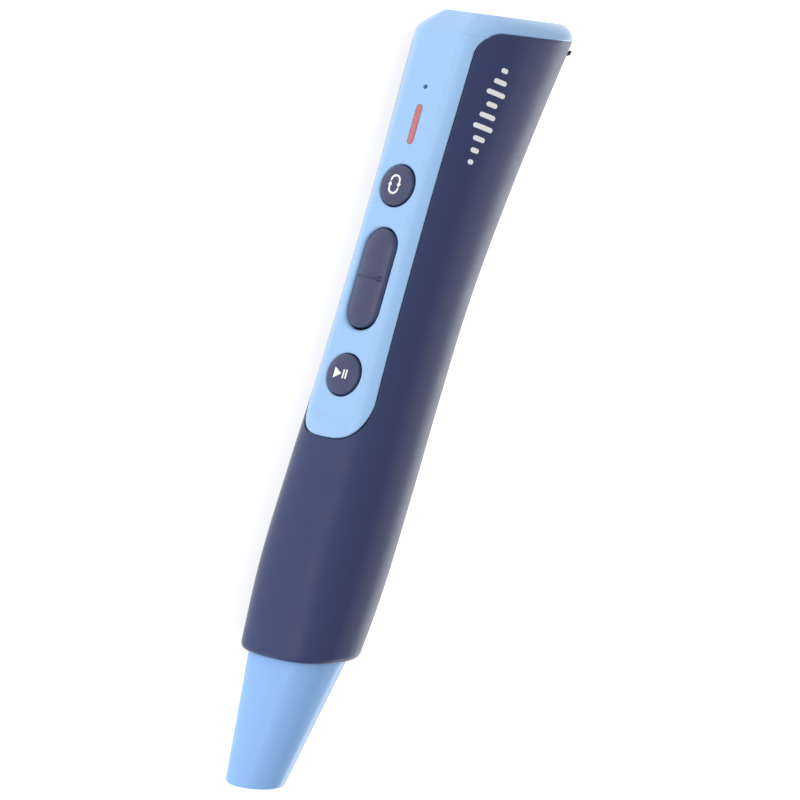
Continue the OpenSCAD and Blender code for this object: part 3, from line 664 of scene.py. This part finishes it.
def nose_ring(s, inset, count=180):
    t = min((s - TIP_S) / (SEAM_S - TIP_S), 1)
    w = TIP_R + (NOSE_W - TIP_R) * t - inset
    b = TIP_R + (NOSE_B - TIP_R) * t - inset
    angle = np.linspace(0, 2 * math.pi, count, endpoint=False)
    x, y = superellipse(angle, w, b, 2 + (SQUARENESS - 2) * t)
    y = y + TIP_Y + NOSE_SHIFT * t
    return np.stack([x, y, s + NOSE_SLOPE * y], 1)


def nose_part():
    """A hollow cone. Its mouth has a rounded rim, and its root goes up into the casing."""
    rim, inner_rim, root = 0.55, 0.3, SEAM_S + 6
    outside = [nose_ring(s, 0) for s in np.linspace(root, TIP_S + rim, 46)]
    turn = np.radians(np.arange(10, 91, 10))
    outside += [nose_ring(TIP_S + rim * (1 - math.sin(a)), rim * (1 - math.cos(a))) for a in turn]
    back = [nose_ring(TIP_S + inner_rim * (1 - math.cos(a)), NOSE_WALL - inner_rim * (1 - math.sin(a)))
            for a in np.radians(np.arange(0, 91, 15))]
    inside = [nose_ring(s, NOSE_WALL) for s in np.linspace(TIP_S + 0.8, root, 20)]
    rings = outside + back + inside
    return tube_part(rings[::-1])


# ---- keys, light bar and flap ----


def stadium_ring(length, width, inset, y_spots, turns=28):
    """Points of a slot's outline, a distance inside it; it runs along the second coordinate."""
    radius, half = width / 2 - inset, (length - width) / 2
    up = [half * y for y in y_spots]
    angles = np.linspace(0, math.pi, turns + 2)[1:-1]
    right = [(radius, y) for y in up]
    top = [(radius * math.cos(a), half + radius * math.sin(a)) for a in angles]
    left = [(-radius, y) for y in reversed(up)]
    low = [(-radius * math.cos(a), -half - radius * math.sin(a)) for a in angles]
    return np.array(right + top + left + low)


def key_part(z, length, width, skirt, top, edge, drop, dome=None, y_spots=(0.0,), step=0.2):
    """A key seen from the front: a skirt of (inset, height) pairs from the back up, a rounded edge
    of a width and drop, then a top that dome(across, along) may lower. Heights are -y."""
    rings = []

    def ring(inset, height, lower=None):
        flat = stadium_ring(length, width, inset, y_spots)
        height = np.full(len(flat), float(height))
        if lower:
            height = height - lower(flat[:, 0], flat[:, 1])
        rings.append(np.stack([flat[:, 0], -height, z + flat[:, 1]], 1))

    for inset, height in skirt:
        ring(inset, height)
    for a in np.radians(np.arange(0, 91, 9)):
        ring(edge * (1 - math.cos(a)), top - drop * (1 - math.sin(a)), dome)
    for inset in np.append(np.arange(edge + step, width / 2 - step / 2, step), width / 2):
        ring(inset, top, dome)
    points, faces = tube_part(rings, closed=False)
    faces.append(tuple(reversed(range(len(rings[0])))))
    return points, faces


def button_part(z):
    """A round key with a flat middle and a top that falls away towards its edge."""
    rest = FACET_Y - WALL - 0.1
    skirt = [(-1, rest - FLANGE), (-1, rest), (0, rest)]
    flat_r, fall_width, fall_depth = 2.0, 2.6, 0.5
    fall = lambda a, b: fall_depth * smooth_step((np.hypot(a, b) - flat_r) / fall_width)
    return key_part(z, 2 * BUTTON_R, 2 * BUTTON_R, skirt, FACET_Y + PROUD, 0.45, 0.4, fall)


def rocker_part():
    """A long key, rounded across, with a groove over the pin and a small dimple at its end."""
    half, half_w = (ROCKER_L - ROCKER_W) / 2, ROCKER_W / 2
    dimple_x, dimple_r = 2.4, 0.5
    near = np.arange(-0.9, 0.91, 0.09)
    far = np.arange(1.3, half + 0.01, 0.6)
    spots = sorted([*(-far / half), *(near / half), *(far / half), -1, 1])

    def fall(a, b):
        crown = 1.05 * np.clip(np.abs(a) / half_w, 0, 1) ** 2.2
        ends = 0.55 * smooth_step((np.abs(b) - half) / half_w)
        groove = 0.32 * np.exp(-((b / 0.26) ** 2)) * smooth_step((half_w - 0.7 - np.abs(a)) / 0.7)
        dimple = 0.5 * np.exp(-((np.hypot(a - dimple_x, b) / dimple_r) ** 4))
        return crown + ends + np.maximum(groove, dimple)

    return key_part(ROCKER_Z, ROCKER_L, ROCKER_W, [(0, FACET_Y - WALL)], FACET_Y + PROUD, 0.8, 0.45,
                    fall, spots, 0.1)


def light_part():
    """The light guide: a slim bar with a softly domed face."""
    foot, foot_low, foot_high = -0.75, FACET_Y - WALL - 0.9, FACET_Y - WALL - 0.05
    fall = lambda a, b: 0.05 * (a / (LIGHT_W / 2)) ** 2
    skirt = [(foot, foot_low), (foot, foot_high), (0, foot_high)]
    return key_part(LIGHT_Z, LIGHT_L, LIGHT_W, skirt, FACET_Y + LIGHT_PROUD, 0.2, 0.12, fall,
                    np.linspace(-1, 1, 13), 0.1)


def back_point(z, x, depth):
    """A point on the back, given by its height and its place across."""
    front, back = profile(z, FRONT), profile(z, BACK)
    fall = np.clip(1 - (np.abs(x) / profile(z, WIDTH)) ** SQUARENESS, 0, 1)
    y = (back - front) / 2 + (front + back) / 2 * fall ** (1 / SQUARENESS) - depth
    return np.stack([x, y, z], -1)


def flap_part():
    """The rubber flap: a curved plate, raised under its pull lip, with a narrow neck at its hinge."""
    lip_low, lip_h, set_in = LIP_LOW - 0.1, 0.5, 0.03

    def surface(u, v, depth):
        raise_by = lip_h * smooth_step((u - lip_low + 0.15) / 0.3) * (depth < 0.01)
        return back_point(u, -v, depth + set_in - np.minimum(raise_by, lip_h - set_in))

    def outline(p):
        middle, half = (FLAP_LOW + FLAP_HIGH) / 2, (FLAP_HIGH - FLAP_LOW) / 2
        plate = rounded_box(p[:, 0], p[:, 2] - middle, FLAP_X, half, 0.8)
        neck = rounded_box(p[:, 0], p[:, 2] - FLAP_LOW, FLAP_PIN_X, FLAP_LOW - FLAP_PIN_Z, 0.1)
        return -np.minimum(plate, neck)

    us = heights((FLAP_PIN_Z - 0.4, 0.3), (lip_low - 0.4, 0.06), (lip_low + 0.4, 0.15),
                 (FLAP_HIGH + 0.2, 1))
    edge = 0.2
    sheet = Sheet(surface, us, np.arange(-6.2, 6.21, 0.25))
    sheet.cut(outline, edge, 0.04)
    return shell(sheet, FLAP_T - set_in, [(outline, edge)])


def pull_lip_part():
    """The strip that the flap ends in; it lies over the casing and wraps round the back's corners."""
    corner, straight = 0.14, 0.985
    rings = []
    for share in np.concatenate([[-1, -0.997], np.linspace(-straight, straight, 61), [0.997, 1]]):
        past = max(0, (abs(share) - straight) / (1 - straight))
        shrink = corner * (1 - math.sqrt(max(0, 1 - past**2)))
        half_z, half_y = (LIP_HIGH - LIP_LOW) / 2 - shrink, (LIP_RISE - LIP_GAP) / 2 - shrink
        ring = []
        for cz, cy, start in ((1, 1, 0), (-1, 1, 90), (-1, -1, 180), (1, -1, 270)):
            for a in np.radians(np.linspace(start, start + 90, 5)):
                ring.append((cz * (half_z - corner) + corner * math.cos(a),
                             cy * (half_y - corner) + corner * math.sin(a)))
        ring = np.array(ring)
        lift = ((LIP_GAP + LIP_RISE) / 2 + ring[:, 1]) * (1 + LIP_FLARE * share**2)
        x = np.full(len(ring), LIP_X * share)
        rings.append(back_point((LIP_LOW + LIP_HIGH) / 2 + ring[:, 0], x, -lift))
    points, faces = tube_part(rings, closed=False)
    size, last = len(rings[0]), len(points)
    return points, faces + [tuple(reversed(range(size))), tuple(range(last - size, last))]


def flap_barrel_part():
    """The barrel that the flap turns on, with rounded ends."""
    y = profile(FLAP_PIN_Z, BACK) - FLAP_PIN_DEPTH
    spots = [(-FLAP_PIN_X, 0.25), (-FLAP_PIN_X + 0.1, 0.37), (-FLAP_PIN_X + 0.2, FLAP_PIN_R)]
    spots += [(-a, r) for a, r in reversed(spots)]
    angle = np.linspace(0, 2 * math.pi, 24, endpoint=False)
    rings = [np.stack([0 * angle + a, y + r * np.cos(angle), FLAP_PIN_Z + r * np.sin(angle)], 1)
             for a, r in spots]
    points, faces = tube_part(rings, closed=False)
    size, last = len(angle), len(points)
    return points, faces + [tuple(reversed(range(size))), tuple(range(last - size, last))]


# ---- printed mark on the navy side: plain bars of a sound wave ----


def side_x(y, z):
    """Where the side of the casing lies, across the pen."""
    front, back = profile(z, FRONT), profile(z, BACK)
    away = np.abs(y - (back - front) / 2) / ((front + back) / 2)
    return profile(z, WIDTH) * np.clip(1 - away**SQUARENESS, 0, 1) ** (1 / SQUARENESS)


def wave_mark_part():
    """Bars across the pen's length, in a row that starts near the head."""
    parts = []
    thick, width, pitch, first_z = 0.02, 1.0, 2.4, 149.8
    middle_y, middle_z, lean = -4, 130, 0.075
    lengths = (1.7, 3.2, 4.6, 2.7, 3.9, 4.8, 2.9, 2.0, 1.3)
    for k, length in enumerate(lengths):
        rings = []
        for inset, lift in ((0, -0.05), (0, thick * 0.6), (0.06, thick), (0.3, thick), (0.5, thick)):
            flat = stadium_ring(length, width, inset, np.linspace(-1, 1, 9), 8)
            z = first_z - pitch * k + flat[:, 0]
            y = middle_y + lean * (z - middle_z) + flat[:, 1]
            rings.append(np.stack([side_x(y, z) + lift, y, z], 1))
        points, faces = tube_part(rings, closed=False)
        faces.append(tuple(reversed(range(len(rings[0])))))
        parts.append((points, faces, np.zeros_like(points)))
    return joined(*parts)[:2]


# ---- the object ----

dress_cad_nodes()

casing = joined(casing_part(), port_floor_part())
make_piece("casing", casing, "pen", ["body_shell"], navy_casing)
make_piece("cover", cover_part(), "pen", ["front_cover"], sky_cover)
make_piece("nose", nose_part(), "pen", ["nose_cone"], sky_nose, 0.001)
make_piece("repeat_key_cap", button_part(REPEAT_Z), "repeat_key", ["repeat_button"],
           navy_key, 0.001)
make_piece("play_key_cap", button_part(PLAY_Z), "play_key", ["play_button"], navy_key, 0.001)
make_piece("rocker_cap", rocker_part(), "rocker", ["volume_rocker"], navy_key, 0.001)
make_piece("light_guide", light_part(), "pen", ["light_bar"], red_light, 0.001)
make_piece("flap_plate", flap_part(), "flap", ["port_flap"], dark_rubber)
make_piece("flap_barrel", flap_barrel_part(), "flap", [], dark_rubber, 0.001)
make_piece("pull_lip", pull_lip_part(), "flap", [], dark_rubber, 0.001)
make_piece("wave_mark", wave_mark_part(), "pen", [], white_print, 0.001)

# ---- floor, light and camera ----


def add_floor():
    """A pale floor that glows a little, so that it comes out as white as the background."""
    bpy.ops.mesh.primitive_plane_add(size=6)
    floor = bpy.context.object
    floor.name = "floor"
    material, tree, shader, place = new_material("pale_floor")
    cloud = noise(tree, place, 400)
    tree.links.new(mixed_color(tree, cloud.outputs["Fac"], (0.5, 0.5, 0.51), (0.53, 0.53, 0.53)),
                   shader.inputs["Base Color"])
    shader.inputs["Roughness"].default_value = 0.9
    shader.inputs["Emission Color"].default_value = (1, 1, 1, 1)
    shader.inputs["Emission Strength"].default_value = 0.8
    floor.data.materials.append(material)


def add_light(name, towards, distance, size, power, aim):
    """A rectangular soft light, placed by its direction from the point it shines at."""
    data = bpy.data.lights.new(name, "AREA")
    data.shape = "RECTANGLE"
    data.size, data.size_y = size
    data.energy = power
    lamp = bpy.data.objects.new(name, data)
    bpy.context.scene.collection.objects.link(lamp)
    way = Vector(towards).normalized()
    lamp.location = Vector(aim) + way * distance
    lamp.rotation_mode = "QUATERNION"
    lamp.rotation_quaternion = (-way).to_track_quat("-Z", "Y")


def add_camera():
    """The camera looks at the front from the side that is up, with the head leaning to the right."""
    turn, down, roll = math.radians(40), math.radians(-5), math.radians(15.78)
    away, lens, sensor = 850.0, 194.4, 36.0
    shift_right, shift_up, aim_z = 5.43, 1.28, 80
    back = np.array([math.sin(turn) * math.cos(down), -math.cos(turn) * math.cos(down), math.sin(down)])
    across = np.cross(-back, [0, 0, 1])
    across /= np.linalg.norm(across)
    above = np.cross(across, -back)
    right = across * math.cos(roll) + above * math.sin(roll)
    up = -across * math.sin(roll) + above * math.cos(roll)
    target = np.array([0, 0, aim_z]) + right * shift_right + up * shift_up
    data = bpy.data.cameras.new("camera")
    data.lens, data.sensor_width = lens, sensor
    camera = bpy.data.objects.new("camera", data)
    bpy.context.scene.collection.objects.link(camera)
    axes = turned(np.stack([right, up, back]))
    matrix = Matrix(axes.tolist()).transposed().to_4x4()
    matrix.translation = Vector(in_row(target + back * away)[0])
    camera.matrix_world = matrix
    bpy.context.scene.camera = camera


def add_world():
    world = bpy.data.worlds.new("studio")
    world.use_nodes = True
    background = world.node_tree.nodes["Background"]
    background.inputs["Color"].default_value = (1, 1, 1, 1)
    background.inputs["Strength"].default_value = 0.6
    bpy.context.scene.world = world


add_floor()
add_world()
add_camera()
middle = (0, 0, 0.012)
add_light("top_soft", (-0.1, -0.35, 1), 2.0, (2.2, 2.2), 3, middle)
add_light("front_soft", (0.2, -1, 0.08), 1.6, (2.4, 1.0), 12, middle)
add_light("rim_soft", (0, 1, 0.16), 1.6, (1.6, 0.5), 10.5, middle)
bpy.context.scene.view_settings.view_transform = "Standard"
